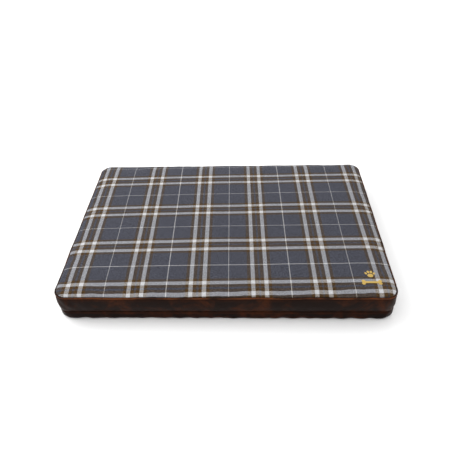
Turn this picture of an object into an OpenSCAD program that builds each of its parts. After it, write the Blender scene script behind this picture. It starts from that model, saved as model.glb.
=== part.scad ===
// Boxed pet cushion bed: a foam core in a fabric sleeve, inside a zip-off cover.
// The cover is a plaid top panel, a piped edge, a leatherette border and a
// leatherette lower band that turns under to the base panel. A zip runs from
// one front corner round the back to the other, so the top folds open forwards.
//
// Frame: millimetres, +Z up, X along the long sides, front at -Y,
// origin at the middle of the base, on the floor.
//
// Most pieces run round the bed. Their sections are drawn as [u, z] points:
// u is the distance outwards from the bed's outline, so it is negative inside,
// and z is the height. Side 0 is the front, 1 the right, 2 the back and 3 the
// left. Corner n lies between side n and the next one.
//
// Pieces that are sewn or stuck together meet face to face.

/* [Overall size] */
// Width along the front, over the piping
bed_w = 1000; // [600:10:1400]
// Depth from front to back, over the piping
bed_d = 700; // [400:10:1000]
// Radius of the four upright corners, over the piping
corner_r = 38; // [30:1:60]
// Height of the seam or zip line round the side
seam_z = 29; // [24:1:40]
// Height from the seam line up to the middle of the piping
border_h = 61; // [40:1:110]
// Height of the top's crown above its seam at the piping
crown_h = 10; // [8:0.5:20]
// How far the border leans in from the piping down to the seam line
border_taper = 3; // [2.6:0.2:6]
// Radius of the lower band's turn under the bed
band_r = 8; // [5:0.5:10]

/* [Foam core] */
// Thickness of the memory foam slab
memory_foam_h = 20; // [10:1:30]
// Thickness of the fibre wadding over the foam, at the middle
wadding_h = 8; // [5:0.5:15]
// Cloth thickness of the sleeve round the core
sleeve_t = 0.6; // [0.4:0.1:1]

/* [Cover materials] */
// Thickness of the leatherette
skin_t = 1.2; // [0.8:0.1:1.6]
// Thickness of the woven plaid cloth
fabric_t = 1.4; // [0.8:0.1:2]
// Diameter of the piping round the top edge
piping_d = 4.8; // [4:0.2:7]
// Diameter of the cord inside the piping
piping_cord_d = 3; // [2:0.1:3.6]
// Width of the seam allowance turned in at the piping
seam_allowance = 8; // [5:0.5:10]

/* [Zip] */
// Height of one row of teeth
coil_h = 2.4; // [1.8:0.1:2.8]
// Thickness of the teeth, through the cover
coil_t = 1.5; // [1.2:0.1:2]
// Thickness of the zip tape
tape_t = 0.6; // [0.4:0.1:0.8]
// Width of one zip tape
tape_w = 14; // [8:0.5:14]
// Length of a slider along the zip
slider_l = 12; // [10:0.5:16]
// Thickness of a slider's two plates
plate_t = 1; // [0.8:0.1:1.4]
// Length of a pull, from its pin to its end
pull_l = 19; // [12:0.5:20]
// Width of a pull
pull_w = 7; // [5:0.5:9]

/* [Emblem] */
// Width of the embroidered emblem
emblem_w = 60; // [40:1:90]
// Height of the thread above the cloth
thread_h = 0.8; // [0.4:0.1:1.2]

/* [Hidden] */
$fn = 64;

// Gap between the cover's moving top and the core that it closes over
lid_gap = 0.6;
// Room that the seam allowances need past the core as the top swings open
swing_gap = 1;
// Gap between the two halves of the cover along the front fold
fold_gap = 0.6;
// Gap between the two rows of teeth, where the slider's post runs
chain_gap = 1.6;
// Small gap round sliders, teeth and cord
fine_gap = 0.3;
// Radial play between the pull's eye and its pin
pin_play = 0.1;
// How far the front strips return along the short sides before their join
front_return = 60;
// How far the zip carries on round the front corners along the front
zip_end = 8;
// Length of the stop that closes each end of the zip
stop_l = 4;
// How much further a slider's plates reach than the two lips they hide
plate_lap = 0.9;
// Distance from the flat of the top's corner to the emblem
emblem_margin = 4;

straight_x = bed_w / 2 - corner_r;
straight_y = bed_d / 2 - corner_r;
piping_z = seam_z + border_h;
seam_u = -(piping_d / 2 + border_taper);

// Seam at the piping: the cloth above, the piping's two edges, the border below
flange_t = piping_d - piping_cord_d;
seam_edge_u = -(piping_d + 0.2);
allowance_u = seam_edge_u - seam_allowance;
panel_seam_z = piping_z + flange_t / 2;
border_seam_z = piping_z - flange_t / 2;

// Heights of the layers, from the top down to the floor
panel_top_z = panel_seam_z + crown_h;
panel_under_z = panel_top_z - fabric_t;
sleeve_top_z = panel_under_z - lid_gap;
wadding_top_z = sleeve_top_z - sleeve_t;
wadding_z = wadding_top_z - wadding_h;
memory_z = wadding_z - memory_foam_h;
core_z = skin_t + sleeve_t;

// Zip
zip_gap = chain_gap + 2 * coil_h + 2 * fine_gap;
slider_h = zip_gap + 2 * plate_lap;
plate_u = wall_u(seam_z + slider_h / 2) + max(0, coil_t - skin_t) + fine_gap;
back_plate_u = seam_u - skin_t - tape_t - fine_gap - plate_t;
slider_rest_x = slider_l / 2 + 3;

// The core is cut to clear the seam allowances, the sliders and the band's turn
sleeve_u = min(allowance_u, back_plate_u, seam_u - band_r) - swing_gap;
foam_u = sleeve_u - sleeve_t;

// Pin and bridge of a slider
pin_r = 0.7;
eye_r = pin_r + pin_play + 0.6;
pin_u = plate_u + plate_t + eye_r + fine_gap;
bridge_w = 1.3;
bridge_span = slider_l - 4;
tab_t = 1;

// Outer face of the border, leaning in from the piping to the seam line
function wall_u(z) = seam_u + border_taper * (z - seam_z) / border_h;

function reversed(points) = [for (i = [len(points) - 1:-1:0]) points[i]];

// Quarter ellipse from [u0, z0 + h] down to [u0 + w, z0]
function shoulder(u0, z0, w, h, steps = 10) =
    [for (i = [0:steps]) let (a = 90 * i / steps) [u0 + w * sin(a), z0 + h * cos(a)]];

function half_run(side) = side % 2 == 0 ? straight_x : straight_y;
function half_across(side) = side % 2 == 0 ? straight_y : straight_x;

// Carries a section along one side. The ends are distances from the middle of
// the side, counted anticlockwise as seen from above.
module run_side(side, section, from, to) {
    rotate([0, 0, 90 * side])
        translate([to, -half_across(side), 0])
            rotate([90, 0, -90])
                linear_extrude(height = to - from)
                    translate([corner_r, 0])
                        polygon(section);
}

// Carries a section round one corner
module run_corner(corner, section) {
    rotate([0, 0, 90 * corner])
        translate([half_run(corner), -half_across(corner), 0])
            rotate([0, 0, -90])
                rotate_extrude(angle = 90)
                    translate([corner_r, 0])
                        polygon(section);
}

// Carries a section along whole sides and corners
module run(section, sides, corners) {
    for (side = sides)
        run_side(side, section, -half_run(side), half_run(side));
    for (corner = corners)
        run_corner(corner, section);
}

// A section that runs all round, with its middle filled from z0 to z1
module slab(section, z0, z1) {
    union() {
        translate([-straight_x, -straight_y, z0])
            cube([2 * straight_x, 2 * straight_y, z1 - z0]);
        run(section, [0:3], [0:3]);
    }
}

// Section of a plain slab whose edge lies at u
function slab_section(u, z0, z1) = [[-corner_r, z0], [u, z0], [u, z1], [-corner_r, z1]];

// --- Foam core and its sleeve ---

module base_foam() {
    color("gainsboro")
        slab(slab_section(foam_u, core_z, memory_z), core_z, memory_z);
}

module memory_foam() {
    color("lightyellow")
        slab(slab_section(foam_u, memory_z, wadding_z), memory_z, wadding_z);
}

// The wadding is thickest in the middle and rounds down to the foam's edge
module wadding() {
    edge = shoulder(-corner_r, wadding_z, corner_r + foam_u, wadding_h);
    color("white")
        slab(concat(edge, [[-corner_r, wadding_z]]), wadding_z, wadding_top_z);
}

module sleeve_base() {
    color("whitesmoke")
        slab(slab_section(sleeve_u, skin_t, core_z), skin_t, core_z);
}

// A cap with straight walls and rounded shoulders, open below
module sleeve_top() {
    outer = shoulder(-corner_r, wadding_z, corner_r + sleeve_u, wadding_h + sleeve_t);
    inner = shoulder(-corner_r, wadding_z, corner_r + foam_u, wadding_h);
    walls = [[sleeve_u, core_z], [foam_u, core_z]];
    color("whitesmoke")
        slab(concat(outer, walls, reversed(inner)), wadding_top_z, sleeve_top_z);
}

// --- Bottom of the cover ---

module base_panel() {
    color("saddlebrown")
        slab(slab_section(seam_u - band_r, 0, skin_t), 0, skin_t);
}

// The lower band hangs from its lip and turns under to meet the base panel
function band_turn(r) = [for (p = shoulder(seam_u - band_r, 0, r, r, 8)) [p[0], band_r - p[1]]];

function band_section(lip_z) = concat(
    band_turn(band_r),
    [[seam_u, lip_z], [seam_u - skin_t, lip_z]],
    reversed(band_turn(band_r - skin_t))
);

band_fold = band_section(seam_z - fold_gap / 2);
band_lip = band_section(seam_z - zip_gap / 2);

// A front strip folds along the front, and turns both corners beside the zip
module front_strip(fold_section, lip_section) {
    fold_x = straight_x - zip_end;
    return_y = straight_y - front_return;
    union() {
        run_side(0, fold_section, -fold_x, fold_x);
        run_side(0, lip_section, fold_x, straight_x);
        run_side(0, lip_section, -straight_x, -fold_x);
        run(lip_section, [], [0, 3]);
        run_side(1, lip_section, -straight_y, -return_y);
        run_side(3, lip_section, return_y, straight_y);
    }
}

module lower_band_front() {
    color("saddlebrown")
        front_strip(band_fold, band_lip);
}

module lower_band_right() {
    color("saddlebrown")
        run_side(1, band_lip, front_return - straight_y, straight_y);
}

module lower_band_back() {
    color("saddlebrown")
        union() run(band_lip, [2], [1, 2]);
}

module lower_band_left() {
    color("saddlebrown")
        run_side(3, band_lip, -straight_y, straight_y - front_return);
}

// --- Top of the cover ---

// The border rises from its lip to a soft belly below the piping, and its top
// edge turns in under the piping
belly_z = piping_z - piping_d;
belly_u = wall_u(belly_z) + 0.6;

function border_section(lip_z) = [
    [wall_u(lip_z), lip_z], [belly_u, belly_z], [seam_edge_u, border_seam_z],
    [allowance_u, border_seam_z], [allowance_u, border_seam_z - skin_t],
    [seam_edge_u - skin_t, border_seam_z - skin_t],
    [belly_u - skin_t, belly_z - skin_t], [wall_u(lip_z) - skin_t, lip_z]
];

border_fold = border_section(seam_z + fold_gap / 2);
border_lip = border_section(seam_z + zip_gap / 2);

module border_front() {
    color("sienna")
        front_strip(border_fold, border_lip);
}

module border_right() {
    color("sienna")
        run_side(1, border_lip, front_return - straight_y, straight_y);
}

module border_back() {
    color("sienna")
        union() run(border_lip, [2], [1, 2]);
}

module border_left() {
    color("sienna")
        run_side(3, border_lip, -straight_y, straight_y - front_return);
}

// Round cord of diameter d along the whole outline, in the middle of the piping
module cord_ring(d) {
    for (side = [0:3])
        rotate([0, 0, 90 * side])
            translate([-half_run(side), -half_across(side) - corner_r + piping_d / 2, piping_z])
                rotate([0, 90, 0])
                    cylinder(d = d, h = 2 * half_run(side));
    for (corner = [0:3])
        rotate([0, 0, 90 * corner])
            translate([half_run(corner), -half_across(corner), piping_z])
                rotate([0, 0, -90])
                    rotate_extrude(angle = 90)
                        translate([corner_r - piping_d / 2, 0])
                            circle(d = d);
}

module piping_cord() {
    color("ivory")
        union() cord_ring(piping_cord_d);
}

// Leatherette wrapped round the cord, with its two edges caught in the seam
module top_piping() {
    flange = [
        [-piping_d + 0.4, border_seam_z], [-piping_d + 0.4, panel_seam_z],
        [allowance_u, panel_seam_z], [allowance_u, border_seam_z]
    ];
    color("chocolate")
        difference() {
            union() {
                cord_ring(piping_d);
                run(flange, [0:3], [0:3]);
            }
            cord_ring(piping_cord_d + fine_gap);
        }
}

// The plaid cloth falls over the shoulder and turns in above the piping
module top_panel() {
    foot_z = panel_seam_z + fabric_t;
    w = corner_r + seam_edge_u;
    outer = shoulder(-corner_r, foot_z, w, panel_top_z - foot_z);
    inner = shoulder(-corner_r, foot_z, w - fabric_t, panel_under_z - foot_z);
    turn = [[seam_edge_u, panel_seam_z], [allowance_u, panel_seam_z], [allowance_u, foot_z]];
    color("slategray")
        slab(concat(outer, turn, reversed(inner)), panel_under_z, panel_top_z);
}

// Embroidered emblem: a paw print over a bone, drawn 70 wide and scaled
paw_pads = [[0, 20, 8.4], [-6, 16, 6], [6, 16, 6]];
paw_toes = [[-15, 26, 4.2], [-6, 34, 4.8], [6, 34, 4.8], [15, 26, 4.2]];
bone_y = -19;
bone_knob_r = 7;

module emblem_shape() {
    for (pad = paw_pads)
        translate([pad[0], pad[1]]) circle(r = pad[2]);
    for (toe = paw_toes)
        translate([toe[0], toe[1]]) circle(r = toe[2]);
    translate([-26, bone_y - 5]) square([52, 10]);
    for (x = [-28, 28], y = [-5.5, 5.5])
        translate([x, bone_y + y]) circle(r = bone_knob_r);
}

module emblem() {
    k = emblem_w / 70;
    x = straight_x - emblem_margin - emblem_w / 2;
    y = -straight_y + emblem_margin + (5.5 + bone_knob_r - bone_y) * k;
    color("gold")
        translate([x, y, panel_top_z])
            linear_extrude(height = thread_h)
                scale(k) emblem_shape();
}

// --- Zip ---

// Carries a section from one end of the front fold round the back to the other,
// starting and ending at the distance front_x along the front
module zip_run(section, front_x) {
    union() {
        run(section, [1, 2, 3], [0:3]);
        run_side(0, section, front_x, straight_x);
        run_side(0, section, -straight_x, -front_x);
    }
}

// Section that follows the lean of the border, between two depths behind its face
function leaning(depth0, depth1, z0, z1) = [
    [wall_u(z0) - depth0, z0], [wall_u(z0) - depth1, z0],
    [wall_u(z1) - depth1, z1], [wall_u(z1) - depth0, z1]
];

// Section of an upright strip, between two depths behind the lower band's face
function upright(depth0, depth1, z0, z1) = [
    [seam_u - depth0, z0], [seam_u - depth1, z0], [seam_u - depth1, z1], [seam_u - depth0, z1]
];

lower_row_z = seam_z - chain_gap / 2;
upper_row_z = seam_z + chain_gap / 2;

module zip_tape_lower() {
    section = upright(skin_t + tape_t, skin_t, lower_row_z - tape_w, lower_row_z);
    color("dimgray")
        zip_run(section, straight_x - zip_end);
}

module zip_tape_upper() {
    section = leaning(skin_t + tape_t, skin_t, upper_row_z, upper_row_z + tape_w);
    color("dimgray")
        zip_run(section, straight_x - zip_end);
}

// The lower row of teeth stops short of the end stops
module zip_coil_lower() {
    section = upright(skin_t, skin_t - coil_t, lower_row_z - coil_h, lower_row_z);
    color("black")
        zip_run(section, straight_x - zip_end + stop_l);
}

module zip_coil_upper() {
    section = leaning(skin_t, skin_t - coil_t, upper_row_z, upper_row_z + coil_h);
    color("black")
        zip_run(section, straight_x - zip_end);
}

// A clamp at each end of the lower row, beside its last tooth
module zip_end_stops() {
    section = upright(skin_t, skin_t - coil_t, lower_row_z - coil_h, lower_row_z);
    end_x = straight_x - zip_end;
    color("silver") {
        run_side(0, section, end_x, end_x + stop_l);
        run_side(0, section, -end_x - stop_l, -end_x);
    }
}

// Outline of a slider's plate: broad at the nose, narrow at the tail
module slider_plate() {
    half_l = slider_l / 2;
    half_h = slider_h / 2;
    tail = half_h * 0.72;
    polygon([
        [-half_l, -tail], [0, -tail], [half_l * 0.5, -half_h], [half_l, -half_h * 0.6],
        [half_l, half_h * 0.6], [half_l * 0.5, half_h], [0, tail], [-half_l, tail]
    ]);
}

// A slider on the back of the bed at x. It is drawn with its nose along +X, its
// height along Y and outwards along Z. Its nose points along -X unless flipped.
module slider(x, flipped) {
    post_w = slider_l * 0.4;
    post_h = chain_gap - 2 * fine_gap;
    plate_out_u = plate_u + plate_t;
    translate([x, bed_d / 2, seam_z])
        rotate([90, 0, 180])
            mirror([flipped ? 1 : 0, 0, 0])
                union() {
                    for (u = [back_plate_u, plate_u])
                        translate([0, 0, u])
                            linear_extrude(height = plate_t) slider_plate();
                    // post between the two rows of teeth
                    translate([0, -post_h / 2, back_plate_u])
                        cube([post_w, post_h, plate_out_u - back_plate_u]);
                    // bridge's two posts, and the pin that the pull turns on
                    for (end = [-1, 1])
                        translate([(end * bridge_span - bridge_w) / 2, -eye_r, plate_u + plate_t / 2])
                            cube([bridge_w, 2 * eye_r, pin_u + eye_r - plate_u - plate_t / 2]);
                    translate([-bridge_span / 2, 0, pin_u])
                        rotate([0, 90, 0]) cylinder(r = pin_r, h = bridge_span);
                }
}

// A flat tab with a hole, hanging from an eye rolled round the slider's pin
module pull(x) {
    eye_l = bridge_span - bridge_w - 2 * fine_gap;
    neck_l = pull_l * 0.3;
    end_r = pull_w / 2;
    translate([x, bed_d / 2 + pin_u, seam_z])
        difference() {
            union() {
                translate([-eye_l / 2, 0, 0])
                    rotate([0, 90, 0]) cylinder(r = eye_r, h = eye_l);
                translate([-eye_l / 2, -eye_r, -neck_l])
                    cube([eye_l, tab_t, neck_l]);
                translate([-end_r, -eye_r, end_r - pull_l])
                    cube([pull_w, tab_t, pull_l - end_r - neck_l + 1]);
                translate([0, -eye_r, end_r - pull_l])
                    rotate([-90, 0, 0]) cylinder(r = end_r, h = tab_t);
            }
            translate([-eye_l / 2 - 1, 0, 0])
                rotate([0, 90, 0]) cylinder(r = pin_r + pin_play, h = eye_l + 2);
            translate([0, -eye_r - 1, end_r - pull_l])
                rotate([-90, 0, 0]) cylinder(r = end_r * 0.45, h = tab_t + 2);
        }
}

module zip_slider_left() {
    color("goldenrod") slider(-slider_rest_x, true);
}

module zip_slider_right() {
    color("goldenrod") slider(slider_rest_x, false);
}

module zip_pull_left() {
    color("goldenrod") pull(-slider_rest_x);
}

module zip_pull_right() {
    color("goldenrod") pull(slider_rest_x);
}

base_panel();
lower_band_front();
lower_band_right();
lower_band_back();
lower_band_left();
sleeve_base();
base_foam();
memory_foam();
wadding();
sleeve_top();
zip_tape_lower();
zip_coil_lower();
zip_end_stops();
zip_tape_upper();
zip_coil_upper();
border_front();
border_right();
border_back();
border_left();
piping_cord();
top_piping();
top_panel();
emblem();
zip_slider_left();
zip_pull_left();
zip_slider_right();
zip_pull_right();
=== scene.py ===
"""Boxed pet cushion bed: plaid cloth top, piped edge, brown leatherette sides, a zip-off
cover and a foam core in its own sleeve. Metres, +Z up, front at -Y."""
import math

import bmesh
import bpy
import numpy as np
from mathutils import Matrix, Vector, noise
from mathutils.bvhtree import BVHTree


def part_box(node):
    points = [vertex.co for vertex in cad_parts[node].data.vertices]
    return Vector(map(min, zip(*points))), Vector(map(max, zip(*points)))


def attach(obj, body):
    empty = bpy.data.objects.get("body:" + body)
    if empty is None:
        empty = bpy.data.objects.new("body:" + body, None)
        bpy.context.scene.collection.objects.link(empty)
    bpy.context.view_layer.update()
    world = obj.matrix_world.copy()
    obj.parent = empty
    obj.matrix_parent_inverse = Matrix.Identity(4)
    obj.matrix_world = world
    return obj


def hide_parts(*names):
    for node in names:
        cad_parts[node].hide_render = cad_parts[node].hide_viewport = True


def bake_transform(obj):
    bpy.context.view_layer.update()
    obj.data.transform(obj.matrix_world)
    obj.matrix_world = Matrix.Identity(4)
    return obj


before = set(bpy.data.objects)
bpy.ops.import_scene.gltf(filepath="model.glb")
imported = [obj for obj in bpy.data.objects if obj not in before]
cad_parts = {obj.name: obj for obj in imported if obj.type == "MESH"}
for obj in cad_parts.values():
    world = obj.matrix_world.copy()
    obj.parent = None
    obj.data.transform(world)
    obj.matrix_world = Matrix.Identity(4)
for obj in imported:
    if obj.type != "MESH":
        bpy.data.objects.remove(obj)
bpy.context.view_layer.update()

# --- Camera, light and floor -------------------------------------------------------------
# The camera stands in front of the bed and looks down on it, a little from the right and
# slightly tilted. Large soft lamps stand behind it and to the left over a pale floor.

AIM = Vector((-0.0053, -0.0140, 0.0890))
CAMERA_DISTANCE = 1.688
CAMERA_AZIMUTH = math.radians(-3.12)
CAMERA_ELEVATION = math.radians(39.27)
CAMERA_ROLL = math.radians(2.31)
CAMERA_LENS = 39.99  # mm, on a 36 mm wide sensor

away = Vector((
    math.sin(CAMERA_AZIMUTH) * math.cos(CAMERA_ELEVATION),
    math.cos(CAMERA_AZIMUTH) * math.cos(CAMERA_ELEVATION),
    -math.sin(CAMERA_ELEVATION),
))
level_right = Vector((math.cos(CAMERA_AZIMUTH), -math.sin(CAMERA_AZIMUTH), 0))
upright = level_right.cross(away)
camera_right = level_right * math.cos(CAMERA_ROLL) - upright * math.sin(CAMERA_ROLL)
camera_up = level_right * math.sin(CAMERA_ROLL) + upright * math.cos(CAMERA_ROLL)

camera_data = bpy.data.cameras.new("camera")
camera_data.sensor_width = 36
camera_data.lens = CAMERA_LENS
camera = bpy.data.objects.new("camera", camera_data)
turn = Matrix((camera_right, camera_up, -away)).transposed()
camera.matrix_world = Matrix.Translation(AIM - away * CAMERA_DISTANCE) @ turn.to_4x4()
bpy.context.scene.collection.objects.link(camera)
bpy.context.scene.camera = camera
bpy.context.scene.view_settings.view_transform = "Standard"


def area_lamp(name, place, size, power):
    """A square soft lamp at place that faces the bed."""
    lamp = bpy.data.lights.new(name, "AREA")
    lamp.size = size
    lamp.energy = power
    lamp_object = bpy.data.objects.new(name, lamp)
    lamp_object.location = place
    facing = (Vector((0, 0, 0.05)) - Vector(place)).to_track_quat("-Z", "Y")
    lamp_object.rotation_euler = facing.to_euler()
    bpy.context.scene.collection.objects.link(lamp_object)


area_lamp("lamp_left", (-1.9, 0.5, 1.9), 2.0, 44)
area_lamp("lamp_back", (0.2, 2.4, 2.2), 2.2, 16)

world = bpy.data.worlds.new("studio")
world.use_nodes = True
world.node_tree.nodes["Background"].inputs["Color"].default_value = (1, 1, 1, 1)
world.node_tree.nodes["Background"].inputs["Strength"].default_value = 1.15
bpy.context.scene.world = world


def node(tree, kind, links=None, **settings):
    """Adds a node. Settings are its own properties, and links are values or sockets for inputs."""
    made = tree.nodes.new(kind)
    for key, value in settings.items():
        setattr(made, key, value)
    for key, value in (links or {}).items():
        if isinstance(value, bpy.types.NodeSocket):
            tree.links.new(value, made.inputs[key])
        else:
            made.inputs[key].default_value = value
    return made


def new_material(name, **finish):
    """A material with one Principled shader, whose plain sockets take the values in finish."""
    material = bpy.data.materials.new(name)
    material.use_nodes = True
    tree = material.node_tree
    shader = tree.nodes["Principled BSDF"]
    for key, value in finish.items():
        shader.inputs[key.replace("_", " ")].default_value = value
    return material, tree, shader


def by_place(tree):
    """The place on the piece, in metres, that a pattern follows."""
    return node(tree, "ShaderNodeTexCoord").outputs["Object"]


def toned(tree, shader, share, dark, light):
    """Colours the finish between two tones, the light one where share is 1."""
    tone = node(tree, "ShaderNodeMix", {"Factor": share, 6: (*dark, 1), 7: (*light, 1)}, data_type="RGBA")
    tree.links.new(tone.outputs[2], shader.inputs["Base Color"])


def in_relief(tree, shader, height, strength, depth):
    """Gives the finish a relief of a depth in metres."""
    bump = node(tree, "ShaderNodeBump", {"Strength": strength, "Distance": depth, "Height": height})
    tree.links.new(bump.outputs["Normal"], shader.inputs["Normal"])


def new_piece(name, vertices, faces, material):
    """A mesh object at the origin, with its place in its vertices."""
    mesh = bpy.data.meshes.new(name)
    mesh.from_pydata([tuple(v) for v in vertices], [], [tuple(f) for f in faces])
    mesh.materials.append(material)
    mesh.polygons.foreach_set("use_smooth", [True] * len(mesh.polygons))
    mesh.update()
    piece = bpy.data.objects.new(name, mesh)
    bpy.context.scene.collection.objects.link(piece)
    return piece


FLOOR_HALF = 9.0
floor_material, floor_tree, floor_shader = new_material("floor_pale", Roughness=0.9)
floor_speckle = node(floor_tree, "ShaderNodeTexNoise", {"Vector": by_place(floor_tree), "Scale": 3.0})
toned(floor_tree, floor_shader, floor_speckle.outputs["Fac"], (0.95, 0.95, 0.95), (0.97, 0.97, 0.97))
floor = new_piece("floor", [
    (-FLOOR_HALF, -FLOOR_HALF, -0.0004), (FLOOR_HALF, -FLOOR_HALF, -0.0004),
    (FLOOR_HALF, FLOOR_HALF, -0.0004), (-FLOOR_HALF, FLOOR_HALF, -0.0004)],
    [(0, 1, 2, 3)], floor_material)

# --- Border ------------------------------------------------------------------------------
# Four upright leatherette strips from the piping down to the seam line, bellied out by the
# foam. The front strip turns both front corners. Each lip is hemmed: it is sewn to the lower
# band along the front fold, and to the zip everywhere else.

# Everything sewn round the bed follows one line: the outside of the piping as seen from
# above, a rectangle with round corners. A place on it is its distance along the line from
# the left end of the straight front, anticlockwise; u is the distance outwards from it.

HALF_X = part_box("top_piping")[1].x
HALF_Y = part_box("top_piping")[1].y
CORNER_R = 0.038
FRONT_RETURN = 0.060
ZIP_END = 0.008
STRAIGHT_X = HALF_X - CORNER_R
STRAIGHT_Y = HALF_Y - CORNER_R
ARC = CORNER_R * math.pi / 2

# Distances along the line at which each straight side starts
FRONT_AT = 0.0
RIGHT_AT = 2 * STRAIGHT_X + ARC
BACK_AT = RIGHT_AT + 2 * STRAIGHT_Y + ARC
LEFT_AT = BACK_AT + 2 * STRAIGHT_X + ARC
AROUND = LEFT_AT + 2 * STRAIGHT_Y + ARC


def on_outline(along):
    """Points on the outline and their outward directions, for an array of distances along it."""
    along = np.mod(np.asarray(along, float), AROUND)
    points = np.zeros((len(along), 2))
    outward = np.zeros((len(along), 2))
    starts = (FRONT_AT, RIGHT_AT, BACK_AT, LEFT_AT)
    for side, start in enumerate(starts):
        half_run, half_across = (STRAIGHT_X, STRAIGHT_Y) if side % 2 == 0 else (STRAIGHT_Y, STRAIGHT_X)
        cos, sin = ((1, 0), (0, 1), (-1, 0), (0, -1))[side]
        end = start + 2 * half_run + ARC
        chosen = (along >= start) & (along < end)
        run = along[chosen] - start
        bend = np.clip((run - 2 * half_run) / CORNER_R, 0, None)
        x = np.minimum(run, 2 * half_run) - half_run + CORNER_R * np.sin(bend)
        y = -half_across - CORNER_R * np.cos(bend)
        nx, ny = np.sin(bend), -np.cos(bend)
        points[chosen] = np.stack([cos * x - sin * y, sin * x + cos * y], 1)
        outward[chosen] = np.stack([cos * nx - sin * ny, sin * nx + cos * ny], 1)
    return points, outward


def along_of(x, y):
    """The distance along the outline of points that lie on a line parallel to it."""
    straight_x, straight_y = np.clip(x, -STRAIGHT_X, STRAIGHT_X), np.clip(y, -STRAIGHT_Y, STRAIGHT_Y)
    facing = np.arctan2(x - straight_x, straight_y - y) % (2 * math.pi)
    side = np.floor(facing / (math.pi / 2) + 1e-6).astype(int) % 4
    bend = np.clip(facing % (2 * math.pi) - side * math.pi / 2, 0, math.pi / 2)
    starts = np.array([FRONT_AT, RIGHT_AT, BACK_AT, LEFT_AT])[side]
    runs = np.stack([straight_x + STRAIGHT_X, straight_y + STRAIGHT_Y,
                     STRAIGHT_X - straight_x, STRAIGHT_Y - straight_y])
    return starts + runs[side, np.arange(len(side))] + bend * CORNER_R


def wave(along, length, seed):
    """A smooth uneven wave from -1 to 1 that repeats once round the outline."""
    draw = np.random.default_rng(seed)
    total = np.zeros_like(np.asarray(along, float))
    turns = AROUND / length
    for _ in range(5):
        cycles = max(1, round(turns * draw.uniform(0.6, 1.5)))
        total += np.sin(2 * math.pi * cycles * along / AROUND + draw.uniform(0, 2 * math.pi))
    return total / 3.2


def corner_share(along, reach=0.03):
    """1 in the middle of a corner, falling to 0 at a distance reach beyond its ends."""
    middles = np.array([RIGHT_AT, BACK_AT, LEFT_AT, AROUND]) - ARC / 2
    gap = np.abs((np.asarray(along)[:, None] - middles + AROUND / 2) % AROUND - AROUND / 2).min(1)
    return np.clip(1 - gap / (ARC / 2 + reach), 0, 1)


def sweep(name, start, end, profile, material, shape=None, step=0.004, closed_profile=False):
    """Carries a profile of [u, z] points along the outline. shape(along, t) gives how far each
    point moves outwards and upwards, where t goes from 0 to 1 along the profile."""
    whole = end - start >= AROUND - 1e-6
    count = max(2, math.ceil((end - start) / step))
    along = start + (end - start) * np.arange(count if whole else count + 1) / count
    points, outward = on_outline(along)
    profile = np.asarray(profile, float)
    steps = np.linalg.norm(np.diff(profile, axis=0), axis=1)
    t = np.concatenate([[0], np.cumsum(steps)])
    u = np.repeat(profile[None, :, 0], len(along), 0)
    z = np.repeat(profile[None, :, 1], len(along), 0)
    if shape is not None:
        du, dz = shape(along[:, None] + 0 * u, (t / t[-1])[None, :] + 0 * u)
        u, z = u + du, z + dz
    xy = points[:, None, :] + outward[:, None, :] * u[:, :, None]
    vertices = np.concatenate([xy, z[:, :, None]], 2).reshape(-1, 3)
    rows, width = len(along), len(profile)
    faces = []
    for i in range(rows if whole else rows - 1):
        for k in range(width if closed_profile else width - 1):
            a, b = i, (i + 1) % rows
            k1 = (k + 1) % width
            faces.append((a * width + k, b * width + k, b * width + k1, a * width + k1))
    if closed_profile and not whole:
        faces.append(tuple(range(width)))
        faces.append(tuple(reversed(range((rows - 1) * width, rows * width))))
    piece = new_piece(name, vertices, faces, material)
    lengths = np.repeat(along[:, None], width, 1)
    strip = np.stack([lengths, np.repeat(t[None, :], rows, 0), 0 * lengths], 2)
    attribute = piece.data.attributes.new("strip", "FLOAT_VECTOR", "POINT")
    attribute.data.foreach_set("vector", strip.reshape(-1).astype(np.float32))
    return piece


def thicken(piece, thickness, offset=-1.0, inner_material=None, even=True):
    """Gives a sheet its thickness on the inner side, and applies it."""
    solidify = piece.modifiers.new("thickness", "SOLIDIFY")
    solidify.thickness = thickness
    solidify.offset = offset
    solidify.use_even_offset = even
    if inner_material is not None:
        piece.data.materials.append(inner_material)
        solidify.material_offset = 1
    apply_modifiers(piece)


def apply_modifiers(piece):
    """Replaces the piece's mesh by what its modifiers make of it."""
    graph = bpy.context.evaluated_depsgraph_get()
    made = bpy.data.meshes.new_from_object(piece.evaluated_get(graph), preserve_all_data_layers=True,
                                           depsgraph=graph)
    piece.modifiers.clear()
    old = piece.data
    piece.data = made
    made.name = piece.name
    bpy.data.meshes.remove(old)


# A dark brown coated cloth with a waxed, pull-up finish: nearly black where it is flat and
# orange-brown in cloudy patches. Along edges the orange-brown is partly wear and partly a painted
# highlight where lips, piping and upper border catch the light. Its back is a cream knit inside.


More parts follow.
